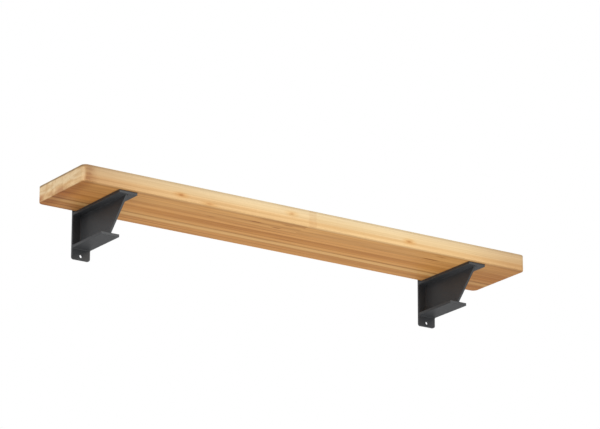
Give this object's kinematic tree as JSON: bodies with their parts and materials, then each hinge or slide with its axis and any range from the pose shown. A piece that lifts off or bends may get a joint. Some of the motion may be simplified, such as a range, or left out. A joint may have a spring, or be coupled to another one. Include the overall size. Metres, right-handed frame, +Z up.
{
  "type": "wall shelf with brackets",
  "caption": "Straight wooden wall shelf resting on two welded steel brackets of I-shaped section with screw tabs.",
  "frame": {"origin": "middle of the four wall screw holes, in the wall plane at the back faces of the two wall plates", "axes": "+X to the right along the shelf as seen from the room, +Y into the wall, +Z up"},
  "size_m": [0.9145, 0.162, 0.112],
  "materials": {
    "honey_wood": "clear satin lacquer over straight-grained honey wood",
    "tan_wood": "clear satin lacquer over a slightly darker stave",
    "pale_wood": "clear satin lacquer over a pale stave",
    "powder_coat": "fine-textured charcoal powder coat, satin",
    "screw_steel": "black-coated screw, semi-gloss"
  },
  "bodies": {
    "root": {"front_stave_left": "honey_wood", "front_stave_right": "honey_wood", "second_stave": "honey_wood", "third_stave": "tan_wood", "fourth_stave": "honey_wood", "pale_stave": "pale_wood", "rear_stave": "tan_wood", "left_wall_plate": "powder_coat", "left_top_flange": "powder_coat", "left_web": "powder_coat", "left_lower_flange": "powder_coat", "left_arm_welds": "powder_coat", "left_plate_welds": "powder_coat", "left_board_screws": "screw_steel", "right_wall_plate": "powder_coat", "right_top_flange": "powder_coat", "right_web": "powder_coat", "right_lower_flange": "powder_coat", "right_arm_welds": "powder_coat", "right_plate_welds": "powder_coat", "right_board_screws": "screw_steel"}
  },
  "joints": []
}
